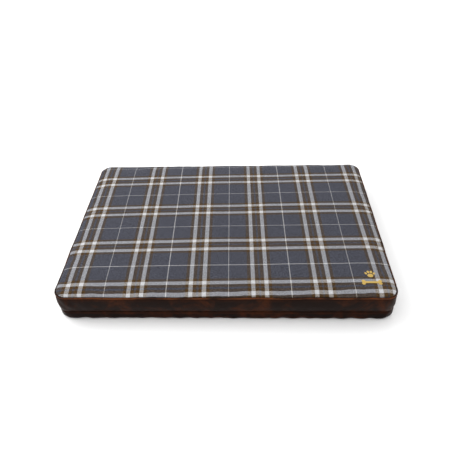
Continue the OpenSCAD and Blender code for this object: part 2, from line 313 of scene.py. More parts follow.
def leather_material(name, dark, warm, patch, grain_depth=0.00012, roughness=0.42):
    """Mottled leatherette. patch is the share of the surface that has gone warm."""
    material, tree, shader = new_material(name, Specular_IOR_Level=0.055)
    coords = by_place(tree)
    clouds = node(tree, "ShaderNodeTexNoise",
                  {"Vector": coords, "Scale": 16.0, "Detail": 6.0, "Roughness": 0.62, "Distortion": 0.6})
    flecks = node(tree, "ShaderNodeTexNoise",
                  {"Vector": coords, "Scale": 150.0, "Detail": 3.0, "Roughness": 0.6})
    # The warm edge mask per vertex: wear, plus a painted highlight where edges face the light
    wear_and_highlight = node(tree, "ShaderNodeAttribute", attribute_name="wear_and_highlight").outputs["Fac"]
    cloud_share = node(tree, "ShaderNodeMapRange", {
        "Value": clouds.outputs["Fac"], "From Min": 0.62 - 0.3 * patch, "From Max": 0.86 - 0.3 * patch,
        "To Min": 0.0, "To Max": 0.85}, interpolation_type="SMOOTHSTEP").outputs["Result"]
    fleck_share = node(tree, "ShaderNodeMapRange", {
        "Value": flecks.outputs["Fac"], "From Min": 0.35, "From Max": 0.7, "To Min": 0.55, "To Max": 1.15},
    ).outputs["Result"]
    edges = node(tree, "ShaderNodeMath", {0: wear_and_highlight, 1: 0.8}, operation="MULTIPLY").outputs[0]
    both = node(tree, "ShaderNodeMath", {0: cloud_share, 1: edges}, operation="ADD").outputs[0]
    warm_share = node(tree, "ShaderNodeMath", {0: both, 1: fleck_share}, operation="MULTIPLY",
                      use_clamp=True).outputs[0]
    toned(tree, shader, warm_share, dark, warm)
    rough = node(tree, "ShaderNodeMapRange", {
        "Value": flecks.outputs["Fac"], "From Min": 0.3, "From Max": 0.7,
        "To Min": roughness - 0.07, "To Max": roughness + 0.1}).outputs["Result"]
    tree.links.new(rough, shader.inputs["Roughness"])
    pebbles = node(tree, "ShaderNodeTexVoronoi", {"Vector": coords, "Scale": 620.0, "Randomness": 0.95},
                   feature="SMOOTH_F1")
    creases = node(tree, "ShaderNodeTexNoise",
                   {"Vector": coords, "Scale": 70.0, "Detail": 5.0, "Roughness": 0.65, "Distortion": 1.2})
    height = node(tree, "ShaderNodeMath", {
        0: creases.outputs["Fac"], 1: 4.0, 2: pebbles.outputs["Distance"]},
        operation="MULTIPLY_ADD").outputs[0]
    in_relief(tree, shader, height, 0.55, grain_depth)
    return material


leatherette = leather_material("leatherette", (0.0085, 0.0038, 0.0026), (0.044, 0.0112, 0.0028), 0.55)
band_leatherette = leather_material(
    "leatherette_band", (0.0055, 0.0022, 0.0014), (0.038, 0.0088, 0.0020), 0.65)

knit_back, knit_tree, knit_shader = new_material("leatherette_back", Roughness=0.95)
knit_loops = node(knit_tree, "ShaderNodeTexVoronoi", {
    "Vector": by_place(knit_tree), "Scale": 900.0}).outputs["Distance"]
toned(knit_tree, knit_shader, knit_loops, (0.20, 0.175, 0.14), (0.30, 0.27, 0.23))
in_relief(knit_tree, knit_shader, knit_loops, 0.5, 0.0002)


def mark_wear_and_highlight(piece, share):
    """Stores at each vertex how far the leatherette turns warm: edge wear, with a painted highlight along
    lips and piping.
    """
    attribute = piece.data.attributes.get("wear_and_highlight") or piece.data.attributes.new("wear_and_highlight", "FLOAT", "POINT")
    attribute.data.foreach_set("value", np.asarray(share, np.float32))


def strip_of(piece):
    """The distance along the outline and along the profile of each vertex of a swept piece."""
    values = np.zeros(len(piece.data.vertices) * 3, np.float32)
    piece.data.attributes["strip"].data.foreach_get("vector", values)
    return values.reshape(-1, 3)


SKIN_T = 0.0012
PIPING_R = 0.0024
SEAM_Z = 0.029
PIPING_Z = sum(corner.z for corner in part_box("top_piping")) / 2
SEAM_U = -0.0054
FLANGE_EDGE_U = -0.013
# Gaps from the fold line to each lip, and how far the lips lap over the zip's ends
FOLD_LIP_GAP = 0.0004
ZIP_LIP_GAP = 0.0035
ZIP_COVER = 0.0030
BORDER_BELLY = 0.0052
STRIP_JOINS = (RIGHT_AT + FRONT_RETURN, BACK_AT - ARC, LEFT_AT, AROUND - ARC - FRONT_RETURN)


def eased(value):
    """A smooth step from 0 to 1."""
    value = np.clip(value, 0, 1)
    return value * value * (3 - 2 * value)


def from_front(along):
    """Distance along the outline from the middle of the front."""
    return np.abs((np.asarray(along) - STRAIGHT_X + AROUND / 2) % AROUND - AROUND / 2)


def lip_setting(along):
    """How far the lips stand apart from the fold line, and how far they lap over the zip."""
    gone = from_front(along)
    opened = eased((gone - STRAIGHT_X - ARC - 0.006) / 0.035)
    over_zip = eased((gone - STRAIGHT_X - 0.002) / 0.022) * (1 - opened)
    return (ZIP_LIP_GAP - FOLD_LIP_GAP) * opened, ZIP_COVER * over_zip


def join_dip(along):
    """1 on the upright seams where two strips meet, falling to 0 within 4 mm."""
    gaps = [np.abs((along - place + AROUND / 2) % AROUND - AROUND / 2) for place in STRIP_JOINS]
    return np.exp(-(np.minimum.reduce(gaps) / 0.0028) ** 2)


def seam_waver(along):
    """How far the piped seam strays up or down from its level."""
    return 0.0009 * wave(along, 0.19, 23) + 0.0003 * wave(along, 0.05, 24)


def border_profile():
    """From the hem's tucked edge, round the lip, up the face and in under the piping."""
    lip_z = SEAM_Z + FOLD_LIP_GAP
    hem = [(SEAM_U - 0.0024 + 0.0024 * math.sin(a), lip_z + 0.0022 * (1 - math.cos(a)))
           for a in np.linspace(-0.9, 1.2, 7)]
    top_z = PIPING_Z - 2.1 * PIPING_R
    face = [(SEAM_U + 0.0032 * k, lip_z + 0.003 + (top_z - lip_z - 0.003) * k)
            for k in np.linspace(0.03, 1, 17)]
    turn = [(-0.0042, PIPING_Z - 1.35 * PIPING_R), (-0.0058, PIPING_Z - 0.0011),
            (FLANGE_EDGE_U, PIPING_Z - 0.0009)]
    return hem + face + turn


def border_shape(along, t):
    """Belly, slow waves, gathers under the piping and slanting pulls at the corners."""
    line = along[:, 0]
    belly = np.sin(np.clip((t - 0.07) / 0.76, 0, 1) * math.pi) ** 0.7
    belly = belly * eased((t - 0.05) / 0.16)
    corners = corner_share(line, 0.07)[:, None]
    slow = wave(line, 0.22, 3)[:, None]
    middling = wave(line, 0.085, 4)[:, None]
    gathers = wave(line, 0.021, 5)[:, None] * np.exp(-((t - 0.78) / 0.10) ** 2)
    low_gathers = wave(line, 0.034, 6)[:, None] * np.exp(-((t - 0.15) / 0.10) ** 2)
    slant = np.sin(2 * math.pi * (along / 0.036 + 1.3 * t + 0.5 * slow)) * belly
    pull = np.sin(2 * math.pi * (along / 0.13 - 0.9 * t + 0.9 * middling + 0.8 * slow)) * belly
    pull = pull * np.clip(wave(line, 0.35, 8)[:, None], 0, 1)
    du = BORDER_BELLY * belly * (1 - 0.25 * corners)
    du = du + belly * (0.0013 * slow + 0.0005 * middling) + 0.0014 * pull * (1 - corners)
    du = du + 0.0005 * gathers + 0.0005 * low_gathers
    du = du + 0.0013 * corners * slant
    raised, lapped = lip_setting(line)
    near_lip = np.clip(1 - t / 0.30, 0, 1)
    du = du + lapped[:, None] * near_lip
    du = du - 0.0016 * join_dip(line)[:, None] * belly
    waver = seam_waver(line)[:, None] * eased((t - 0.60) / 0.22)
    return du, raised[:, None] * near_lip + 0.0006 * slow * belly + waver


def finish_border(piece, node_name):
    """Wear and a painted highlight along the hem and under the piping, then thickness, with the knit on the
    inside.
    """
    along, profile_run = strip_of(piece)[:, 0], strip_of(piece)[:, 1]
    t = profile_run / profile_run.max()
    # Warm bands at the hem and below the piping are wear plus a painted highlight; the corners warm with
    # wear
    hem = np.exp(-((t - 0.10) / 0.04) ** 2)
    shoulder = np.exp(-((t - 0.80) / 0.05) ** 2)
    uneven = 0.55 + 0.45 * wave(along, 0.16, 7)
    wear_and_highlight_share = (0.6 * hem + 0.55 * shoulder) * uneven + 0.3 * corner_share(along) ** 2
    mark_wear_and_highlight(piece, np.clip(wear_and_highlight_share, 0, 1))
    thicken(piece, SKIN_T, inner_material=knit_back)
    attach(piece, "cover_top")
    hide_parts(node_name)


strip_ends = {
    "front": (-ARC - FRONT_RETURN, 2 * STRAIGHT_X + ARC + FRONT_RETURN),
    "right": (RIGHT_AT + FRONT_RETURN, BACK_AT - ARC),
    "back": (BACK_AT - ARC, LEFT_AT),
    "left": (LEFT_AT, AROUND - ARC - FRONT_RETURN),
}
borders = {}
for side_name, (strip_start, strip_end) in strip_ends.items():
    borders[side_name] = sweep(f"border_{side_name}_strip", strip_start, strip_end, border_profile(),
                               leatherette, border_shape)
    finish_border(borders[side_name], f"border_{side_name}")

# --- Lower band --------------------------------------------------------------------------
# Four leatherette strips that hang from the seam line, puff out over the edge of the base
# foam and turn under the bed to the base panel's seam.

BAND_TURN_R = 0.006
BAND_PUFF = 0.0034


def band_profile():
    """From the base seam, round the turn, up the puffed face and in at the hemmed lip."""
    lip_z = SEAM_Z - FOLD_LIP_GAP
    under = [(FLANGE_EDGE_U - 0.0006, 0.0001)]
    turn = [(SEAM_U - BAND_TURN_R + BAND_TURN_R * math.sin(a), BAND_TURN_R * (1 - math.cos(a)))
            for a in np.linspace(0, math.pi / 2, 9)]
    face = [(SEAM_U, z) for z in np.linspace(BAND_TURN_R + 0.0015, lip_z - 0.0026, 10)]
    hem = [(SEAM_U - 0.0024 + 0.0024 * math.cos(a), lip_z - 0.0022 + 0.0022 * math.sin(a))
           for a in np.linspace(0.35, 2.5, 7)]
    return under + turn + face + hem


def band_shape(along, t):
    """A puff that swells and slackens, with short gathers from the seam above."""
    line = along[:, 0]
    puff = np.sin(np.clip((t - 0.16) / 0.68, 0, 1) * math.pi) ** 0.55
    slow = wave(line, 0.30, 11)[:, None]
    middling = wave(line, 0.075, 12)[:, None]
    gathers = wave(line, 0.026, 13)[:, None] * np.exp(-((t - 0.68) / 0.16) ** 2)
    slant = np.sin(2 * math.pi * (along / 0.052 - 1.1 * t + 0.5 * slow))
    slump = eased((line - STRAIGHT_X) / STRAIGHT_X) * (line < 2 * STRAIGHT_X + ARC)
    tucked = 1 - 0.45 * corner_share(line, 0.04)[:, None]
    du = (BAND_PUFF + 0.0022 * slump[:, None]) * puff * tucked * (1 + 0.30 * slow)
    du = du + puff * (0.0008 * middling + 0.0006 * slant * (0.4 + 0.6 * np.abs(slow)))
    du = du + 0.0006 * gathers
    foot = np.exp(-((t - 0.30) / 0.15) ** 2)
    du = du + 0.0013 * wave(line, 0.06, 15)[:, None] * foot
    # The foam is cut back along the zip sliders' run, so that the pulls hang free
    behind = eased((from_front(line) - AROUND / 2 + STRAIGHT_X + 0.045) / 0.03)[:, None]
    du = du * (1 - 0.62 * behind)
    lowered, lapped = lip_setting(line)
    near_lip = np.clip((t - 0.62) / 0.28, 0, 1)
    du = du + lapped[:, None] * near_lip
    du = du - 0.0014 * join_dip(line)[:, None] * puff
    lift = 0.0007 * (1 + wave(line, 0.045, 16)[:, None]) * foot
    return du, lift - lowered[:, None] * near_lip


def finish_band(piece, node_name):
    """Wear on the lip, with a painted highlight over it, and wear where the band turns under, then
    thickness.
    """
    along, profile_run = strip_of(piece)[:, 0], strip_of(piece)[:, 1]
    t = profile_run / profile_run.max()
    # The lip's warm band is wear plus a painted highlight; the turn under the bed is wear only
    lip = np.exp(-((t - 0.82) / 0.07) ** 2)
    heel = np.exp(-((t - 0.34) / 0.12) ** 2)
    uneven = 0.5 + 0.5 * wave(along, 0.13, 14)
    mark_wear_and_highlight(piece, np.clip(0.8 * lip * (0.5 + 0.5 * uneven) + 0.4 * heel * uneven, 0, 1))
    thicken(piece, SKIN_T, inner_material=knit_back)
    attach(piece, "cover_base")
    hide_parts(node_name)


bands = {}
for side_name, (strip_start, strip_end) in strip_ends.items():
    bands[side_name] = sweep(f"lower_band_{side_name}_strip", strip_start, strip_end, band_profile(),
                             band_leatherette, band_shape)
    finish_band(bands[side_name], f"lower_band_{side_name}")

# --- Fold seam ---------------------------------------------------------------------------
# Along the front the border and the lower band are sewn to each other over a narrow tape.
# The tape is the hinge that the cover folds back on.

fold_x = STRAIGHT_X - 0.009
fold_seam = sweep("fold_seam_tape", STRAIGHT_X - fold_x, STRAIGHT_X + fold_x, [
    (SEAM_U - 0.0031, z) for z in np.linspace(SEAM_Z - 0.006, SEAM_Z + 0.006, 13)], leatherette)
mark_wear_and_highlight(fold_seam, np.zeros(len(fold_seam.data.vertices)))
thicken(fold_seam, 0.0008)
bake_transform(fold_seam)

# --- Piping ------------------------------------------------------------------------------
# A strip of leatherette wrapped round a cotton cord and caught by its two edges in the seam.
# It is the most rubbed edge of the bed and its round catches the light, so it is the warmest
# brown: wear together with a painted highlight.

piping_leatherette = leather_material("leatherette_piping", (0.012, 0.0055, 0.0035), (0.090, 0.028, 0.009),
                                      0.8, grain_depth=0.00008, roughness=0.40)
WRAP_T = 0.0009


def piping_profile():
    """The round of the piping and its flange, as one closed loop."""
    neck = math.asin(WRAP_T / PIPING_R)
    angles = np.linspace(-math.pi + neck, math.pi - neck, 17)
    round_part = [(-PIPING_R + PIPING_R * math.cos(a), PIPING_Z + PIPING_R * math.sin(a)) for a in angles]
    return round_part + [(FLANGE_EDGE_U, PIPING_Z + WRAP_T), (FLANGE_EDGE_U, PIPING_Z - WRAP_T)]


def piping_shape(along, t):
    """Slow waver of the seam and the small puckers of the wrap, closer at the corners."""
    flat_along = along[:, 0]
    rounded = np.clip(1 - np.abs(t - 0.26) / 0.26, 0, 1)
    corners = corner_share(flat_along, 0.02)[:, None]
    puckers = np.sin(2 * math.pi * along / 0.0052 + 2 * wave(flat_along, 0.03, 21)[:, None])
    du = 0.0004 * wave(flat_along, 0.12, 22)[:, None] + rounded * puckers * (0.00004 + 0.00022 * corners)
    dz = seam_waver(flat_along)[:, None] + 0 * t
    return du, dz


piping = sweep("piping_wrap", 0, AROUND, piping_profile(), piping_leatherette, piping_shape,
               step=0.0021, closed_profile=True)
piping_along = strip_of(piping)[:, 0]
piping_t = strip_of(piping)[:, 1] / strip_of(piping)[:, 1].max()
# Warmest on the outer face of the round: wear plus a painted highlight
mark_wear_and_highlight(piping, np.clip(np.exp(-((piping_t - 0.30) / 0.12) ** 2)
                          * (0.6 + 0.4 * wave(piping_along, 0.09, 24)), 0, 1))
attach(piping, "cover_top")
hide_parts("top_piping")

cord_cotton, cotton_tree, cotton_shader = new_material("cotton_cord", Roughness=0.95, Specular_IOR_Level=0.1)
cotton_strands = node(cotton_tree, "ShaderNodeTexWave", {
    "Vector": node(cotton_tree, "ShaderNodeAttribute", attribute_name="strip").outputs["Vector"],
    "Scale": 120.0, "Distortion": 0.5}, bands_direction="DIAGONAL")
toned(cotton_tree, cotton_shader, cotton_strands.outputs["Fac"], (0.32, 0.29, 0.23), (0.46, 0.43, 0.36))
CORD_R = 0.0013
cord_round = [(-PIPING_R + CORD_R * math.cos(a), PIPING_Z + CORD_R * math.sin(a))
              for a in np.linspace(-math.pi, math.pi, 9)[:-1]]


def cord_shape(along, t):
    """The cord lies in the middle of the piping and strays with it."""
    return (0.0004 * wave(along[:, 0], 0.12, 22)[:, None] + 0 * t,
            seam_waver(along[:, 0])[:, None] + 0 * t)


piping_core = sweep("piping_cord_cotton", 0, AROUND, cord_round, cord_cotton, cord_shape,
                    closed_profile=True)
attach(piping_core, "cover_top")
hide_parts("piping_cord")

# --- Plaid top panel ---------------------------------------------------------------------
# A wool-look twill check: warp and weft follow the same sett of brown, pale and blue-grey
# yarns, so bands mix half and half where they cross. The panel is cut a degree off square,
# sewn to the piping, and crowned by the wadding beneath.

SETT_X = 0.1813
SETT_Y = 0.1838
PAIR_SPACING = 0.0385
PALE_WIDTH = 0.0122
BROWN_WIDTH = 0.0100
HAIRLINE = 0.0026
WEAVE_TURN = math.radians(1.03)
WEAVE_START = (-0.4393, -0.3250)
YARN = 0.00090

# Reflectance of each yarn; two yarns mix by the squares of the mean of their square roots
GROUND_YARN = (0.043, 0.0445, 0.058)
PALE_YARN = (0.442, 0.448, 0.463)
BROWN_YARN = (0.052, 0.028, 0.009)
LINE_YARN = (0.50, 0.49, 0.48)

plaid, plaid_tree, plaid_shader = new_material(
    "plaid_cloth", Roughness=0.95, Specular_IOR_Level=0.1, Sheen_Weight=0.06, Sheen_Roughness=0.5)
flat_cloth = node(plaid_tree, "ShaderNodeAttribute", attribute_name="cloth").outputs["Vector"]
turned_cloth = node(plaid_tree, "ShaderNodeMapping", {
    "Vector": flat_cloth, "Location": (*WEAVE_START, 0), "Rotation": (0, 0, WEAVE_TURN)},
    vector_type="TEXTURE").outputs["Vector"]
axes = node(plaid_tree, "ShaderNodeSeparateXYZ", {"Vector": turned_cloth})


def plaid_calc(operation, a, b=0.0, c=0.0, clamp=False):
    return node(plaid_tree, "ShaderNodeMath", {0: a, 1: b, 2: c}, operation=operation,
                use_clamp=clamp).outputs[0]


def yarn_colour(place, sett):
    """The colour of the yarn at a distance along the sett, which mirrors about each pair's middle."""
    yarn_place = plaid_calc("SNAP", place, YARN)
    from_pair = plaid_calc("PINGPONG", yarn_place, sett / 2)
    share = plaid_calc("DIVIDE", from_pair, sett / 2)
    ramp = node(plaid_tree, "ShaderNodeValToRGB", {"Fac": share})
    ramp.color_ramp.interpolation = "CONSTANT"
    middle, half_pale = PAIR_SPACING / 2, PALE_WIDTH / 2
    bands = [
        (0.0, GROUND_YARN), (0.0028, BROWN_YARN), (middle - half_pale, PALE_YARN),
        (middle + half_pale, BROWN_YARN), (middle + half_pale + BROWN_WIDTH, GROUND_YARN),
        (sett / 2 - HAIRLINE / 2, LINE_YARN),
    ]
    stops = ramp.color_ramp.elements
    while len(stops) < len(bands):
        stops.new(0.5)
    for stop, (start, colour) in zip(stops, bands):
        stop.position = start / (sett / 2)
        stop.color = (*(math.sqrt(part) for part in colour), 1)
    return ramp.outputs["Color"]


warp_colour = yarn_colour(axes.outputs["X"], SETT_X)
weft_colour = yarn_colour(axes.outputs["Y"], SETT_Y)

# Twill: each yarn passes over two and under two, one step further on in every row
warp_number = plaid_calc("FLOOR", plaid_calc("DIVIDE", axes.outputs["X"], YARN))
weft_number = plaid_calc("FLOOR", plaid_calc("DIVIDE", axes.outputs["Y"], YARN))
diagonal = plaid_calc("ADD", warp_number, weft_number)
step_in_twill = plaid_calc("FLOORED_MODULO", diagonal, 4.0)
weft_over = plaid_calc("LESS_THAN", step_in_twill, 2.0)
softened = plaid_calc("MULTIPLY_ADD", weft_over, 0.56, 0.22)
mixed_root = node(plaid_tree, "ShaderNodeMix", {"Factor": softened, 6: warp_colour, 7: weft_colour},
                  data_type="RGBA").outputs[2]
woven = node(plaid_tree, "ShaderNodeVectorMath", {0: mixed_root, 1: mixed_root},
             operation="MULTIPLY").outputs["Vector"]

# Melange: every yarn is spun from darker and lighter fibres, in short dashes along it. Over
# them lie coarser flecks and a slow shading of the whole cloth.
warp_fibres = node(plaid_tree, "ShaderNodeCombineXYZ", {
    "X": plaid_calc("MULTIPLY", warp_number, 3.7), "Y": plaid_calc("MULTIPLY", axes.outputs["Y"], 170.0)})
weft_fibres = node(plaid_tree, "ShaderNodeCombineXYZ", {
    "X": plaid_calc("MULTIPLY", axes.outputs["X"], 170.0), "Y": plaid_calc("MULTIPLY", weft_number, 3.7),
    "Z": 9.0})
warp_dashes = node(plaid_tree, "ShaderNodeTexNoise", {
    "Vector": warp_fibres.outputs["Vector"], "Scale": 1.0, "Detail": 1.0})
weft_dashes = node(plaid_tree, "ShaderNodeTexNoise", {
    "Vector": weft_fibres.outputs["Vector"], "Scale": 1.0, "Detail": 1.0})
dashes = node(plaid_tree, "ShaderNodeMix", {
    "Factor": weft_over, 2: warp_dashes.outputs["Fac"], 3: weft_dashes.outputs["Fac"]}).outputs[0]
flecks = node(plaid_tree, "ShaderNodeTexNoise", {
    "Vector": turned_cloth, "Scale": 330.0, "Detail": 2.0, "Roughness": 0.75})
shading = node(plaid_tree, "ShaderNodeTexNoise", {"Vector": turned_cloth, "Scale": 9.0, "Detail": 3.0})
dash_level = plaid_calc("MULTIPLY_ADD", dashes, 3.4, -0.7)
fleck_level = plaid_calc("MULTIPLY_ADD", flecks.outputs["Fac"], 3.4, -0.7)
brightness = plaid_calc("MULTIPLY", plaid_calc("MAXIMUM", dash_level, 0.3),
                        plaid_calc("MAXIMUM", fleck_level, 0.35))
brightness = plaid_calc("MULTIPLY", brightness,
                        plaid_calc("MULTIPLY_ADD", shading.outputs["Fac"], 0.16, 0.92))
# The pale yarns are combed smoother, so the flecks show on them least
paleness = node(plaid_tree, "ShaderNodeSeparateXYZ", {"Vector": woven}).outputs["Y"]
paleness = plaid_calc("MINIMUM", plaid_calc("MULTIPLY", paleness, 2.4), 0.75)
brightness = node(plaid_tree, "ShaderNodeMix", {"Factor": paleness, 2: brightness, 3: 1.0}).outputs[0]
plaid_tone = node(plaid_tree, "ShaderNodeVectorMath", {0: woven, "Scale": brightness},
                  operation="SCALE").outputs["Vector"]
plaid_tree.links.new(plaid_tone, plaid_shader.inputs["Base Color"])

# Relief: rounded yarns that rise where they pass over, and a faint fuzz
warp_round = plaid_calc("ABSOLUTE", plaid_calc("SINE", plaid_calc(
    "MULTIPLY", axes.outputs["X"], math.pi / YARN)))
weft_round = plaid_calc("ABSOLUTE", plaid_calc("SINE", plaid_calc(
    "MULTIPLY", axes.outputs["Y"], math.pi / YARN)))
relief = node(plaid_tree, "ShaderNodeMix", {"Factor": weft_over, 2: warp_round, 3: weft_round})
fuzz = node(plaid_tree, "ShaderNodeTexNoise", {"Vector": turned_cloth, "Scale": 1500.0, "Detail": 2.0})
cloth_height = plaid_calc("MULTIPLY_ADD", fuzz.outputs["Fac"], 0.5, relief.outputs[0])
in_relief(plaid_tree, plaid_shader, cloth_height, 0.5, 0.0003)

PANEL_EDGE_U = -0.0052
PANEL_SEAM_Z = PIPING_Z + 0.0012
PANEL_TOP_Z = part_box("top_panel")[1].z
FABRIC_T = 0.0012
# The cloth rolls up over a tight shoulder, then swells slowly towards the middle
SHOULDER = 0.012
SHOULDER_RISE = 0.0060
SWELL = 0.035
CROWN = 0.0025
GRID = 0.006


def graded_axis(half, round_from):
    """Grid lines across the panel: even in the middle, and closer over the shoulders."""
    inner = np.linspace(-round_from, round_from, max(2, round(2 * round_from / GRID)) + 1)
    reach = half - round_from
    outer = round_from + reach * np.sin(np.linspace(0, 1, 11)[1:] * math.pi / 2)
    return np.concatenate([-outer[::-1], inner, outer])


def rounded_grid(half_x, half_y, radius):
    """A grid of points that fills a rectangle with round corners, and its quad faces."""
    xs = graded_axis(half_x, half_x - radius)
    ys = graded_axis(half_y, half_y - radius)
    x, y = np.meshgrid(xs, ys)
    a = np.clip((np.abs(x) - half_x + radius) / radius, 0, 1)
    b = np.clip((np.abs(y) - half_y + radius) / radius, 0, 1)
    round_a, round_b = a * np.sqrt(1 - b * b / 2), b * np.sqrt(1 - a * a / 2)
    in_corner = (a > 0) & (b > 0)
    x = np.where(in_corner, np.sign(x) * (half_x - radius + radius * round_a), x)
    y = np.where(in_corner, np.sign(y) * (half_y - radius + radius * round_b), y)
    columns = len(xs)
    faces = [(j * columns + i, j * columns + i + 1, (j + 1) * columns + i + 1, (j + 1) * columns + i)
             for j in range(len(ys) - 1) for i in range(columns - 1)]
    edge = [i for i in range(columns)]
    edge += [j * columns + columns - 1 for j in range(1, len(ys))]
    edge += [(len(ys) - 1) * columns + i for i in range(columns - 2, -1, -1)]
    edge += [j * columns for j in range(len(ys) - 2, 0, -1)]
    return x.ravel(), y.ravel(), faces, edge


def from_edge(x, y, half_x, half_y, radius):
    """How far a point lies inside a rectangle with round corners."""
    dx = np.abs(x) - (half_x - radius)
    dy = np.abs(y) - (half_y - radius)
    outside = np.hypot(np.maximum(dx, 0), np.maximum(dy, 0))
    return radius - outside - np.minimum(np.maximum(dx, dy), 0)


def crowned(x, y, half_x, half_y, radius, low, high, crown):
    """Height of a crowned panel that falls over a round shoulder to its edge."""
    depth = from_edge(x, y, half_x, half_y, radius)
    fall = np.clip(depth / SHOULDER, 0, 1)
    rim = low + SHOULDER_RISE * np.sqrt(1 - (1 - fall) ** 2)
    rim = rim + (high - low - SHOULDER_RISE) * (1 - np.exp(-np.maximum(depth, 0) / SWELL))
    dome = (1 - (x / half_x) ** 2) * (1 - (y / half_y) ** 2)
    return rim + crown * np.clip(dome, 0, 1)


panel_half_x = HALF_X + PANEL_EDGE_U
panel_half_y = HALF_Y + PANEL_EDGE_U
panel_r = CORNER_R + PANEL_EDGE_U
panel_x, panel_y, panel_faces, panel_edge = rounded_grid(panel_half_x, panel_half_y, panel_r)
panel_z = crowned(panel_x, panel_y, panel_half_x, panel_half_y, panel_r,
                  PANEL_SEAM_Z + FABRIC_T, PANEL_TOP_Z, CROWN)
panel_depth = from_edge(panel_x, panel_y, panel_half_x, panel_half_y, panel_r)
panel_rim = np.stack([panel_x, panel_y], 1)[panel_edge]
rim_along = along_of(panel_rim[:, 0], panel_rim[:, 1])
nearest_rim = np.array([np.argmin((panel_rim[:, 0] - px) ** 2 + (panel_rim[:, 1] - py) ** 2)
                        for px, py in zip(panel_x, panel_y)])
panel_along = rim_along[nearest_rim]
drift = np.array([noise.noise(Vector((px * 5.5, py * 5.5, 2.0))) for px, py in zip(panel_x, panel_y)])
panel_z = panel_z + 0.0016 * drift * np.clip(panel_depth / 0.10, 0, 1)
panel_z = panel_z + seam_waver(panel_along) * np.exp(-(panel_depth / 0.016) ** 2)
panel_z = panel_z + 0.0006 * wave(panel_along, 0.026, 31) * np.exp(-((panel_depth - 0.007) / 0.007) ** 2)
panel_z = panel_z + 0.0007 * wave(panel_along, 0.07, 32) * np.exp(-((panel_depth - 0.020) / 0.020) ** 2)
panel_points = np.stack([panel_x, panel_y, panel_z], 1)
edge_count = len(panel_edge)
turned_in = ((PANEL_EDGE_U - 0.0004, PANEL_SEAM_Z + 0.0003), (FLANGE_EDGE_U, PANEL_SEAM_Z + 0.0010))
for ring_u, ring_z in turned_in:
    rim = panel_points[panel_edge]
    centre_x = np.clip(rim[:, 0], -STRAIGHT_X, STRAIGHT_X)
    centre_y = np.clip(rim[:, 1], -STRAIGHT_Y, STRAIGHT_Y)
    away_x, away_y = rim[:, 0] - centre_x, rim[:, 1] - centre_y
    size = np.hypot(away_x, away_y)
    ring = np.stack([centre_x + away_x / size * (CORNER_R + ring_u),
                     centre_y + away_y / size * (CORNER_R + ring_u), ring_z + seam_waver(rim_along)], 1)
    first_new = len(panel_points)
    last_ring = panel_edge if first_new == len(panel_x) else list(range(first_new - edge_count, first_new))
    panel_points = np.concatenate([panel_points, ring])
    for i in range(edge_count):
        k = (i + 1) % edge_count
        panel_faces.append((last_ring[i], first_new + i, first_new + k, last_ring[k]))
panel = new_piece("top_panel_cloth", panel_points, panel_faces, plaid)
cloth_place = panel.data.attributes.new("cloth", "FLOAT_VECTOR", "POINT")
flat_place = panel_points.copy()
flat_place[:, 2] = 0
cloth_place.data.foreach_set("vector", flat_place.ravel().astype(np.float32))


def puffed(piece, pinned, pressure, slack, most):
    """Cloth simulation of a sewn-down sheet filled from below. No point moves further than most."""
    start = np.zeros(len(piece.data.vertices) * 3, np.float32)
    piece.data.vertices.foreach_get("co", start)
    start = start.reshape(-1, 3)
    seam = piece.vertex_groups.new(name="seam")
    seam.add([int(i) for i in pinned], 1.0, "REPLACE")
    cloth = piece.modifiers.new("filling", "CLOTH")
    cloth.settings.vertex_group_mass = "seam"
    cloth.settings.quality = 4
    cloth.settings.mass = 0.35
    cloth.settings.bending_stiffness = 1.2
    cloth.settings.use_pressure = True
    cloth.settings.uniform_pressure_force = pressure
    cloth.settings.shrink_min = -slack
    cloth.settings.effector_weights.gravity = 0
    cloth.point_cache.frame_start = 1
    cloth.point_cache.frame_end = 20
    for frame_number in range(1, 21):
        bpy.context.scene.frame_set(frame_number)
    graph = bpy.context.evaluated_depsgraph_get()
    ended = np.zeros_like(start).ravel()
    piece.evaluated_get(graph).data.vertices.foreach_get("co", ended)
    moved = ended.reshape(-1, 3) - start
    piece.modifiers.clear()
    piece.vertex_groups.clear()
    bpy.context.scene.frame_set(1)
    moved[:, :2] *= 0.2
    far = np.linalg.norm(moved, axis=1)[:, None]
    moved = moved * (most * np.tanh(far / most) / np.maximum(far, 1e-9))
    piece.data.vertices.foreach_set("co", (start + moved).ravel())
    piece.data.update()


# The wadding swells against the sewn edge, which gives the crown its soft unevenness
sewn_down = np.nonzero(panel_depth < 0.0012)[0].tolist()
sewn_down += list(range(len(panel_x), len(panel_points)))
puffed(panel, sewn_down, pressure=1.2, slack=0.004, most=0.0035)
thicken(panel, FABRIC_T, even=False)
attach(panel, "cover_top")
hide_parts("top_panel")

# --- Core in its sleeve ------------------------------------------------------------------
# The filling lifts out as one: a firm foam slab, a memory foam slab and a layer of wadding,
# in a cream stretch-knit sleeve that rounds over their edges.


def filling_material(name, light, dark, cell_scale, depth, roughness):
    """Open-cell foam or wadding: small cells with paler and darker walls."""
    material, tree, shader = new_material(name, Roughness=roughness, Specular_IOR_Level=0.2)
    cells = node(tree, "ShaderNodeTexVoronoi", {"Vector": by_place(tree), "Scale": cell_scale})
    toned(tree, shader, cells.outputs["Distance"], dark, light)
    in_relief(tree, shader, cells.outputs["Distance"], 0.6, depth)
    return material


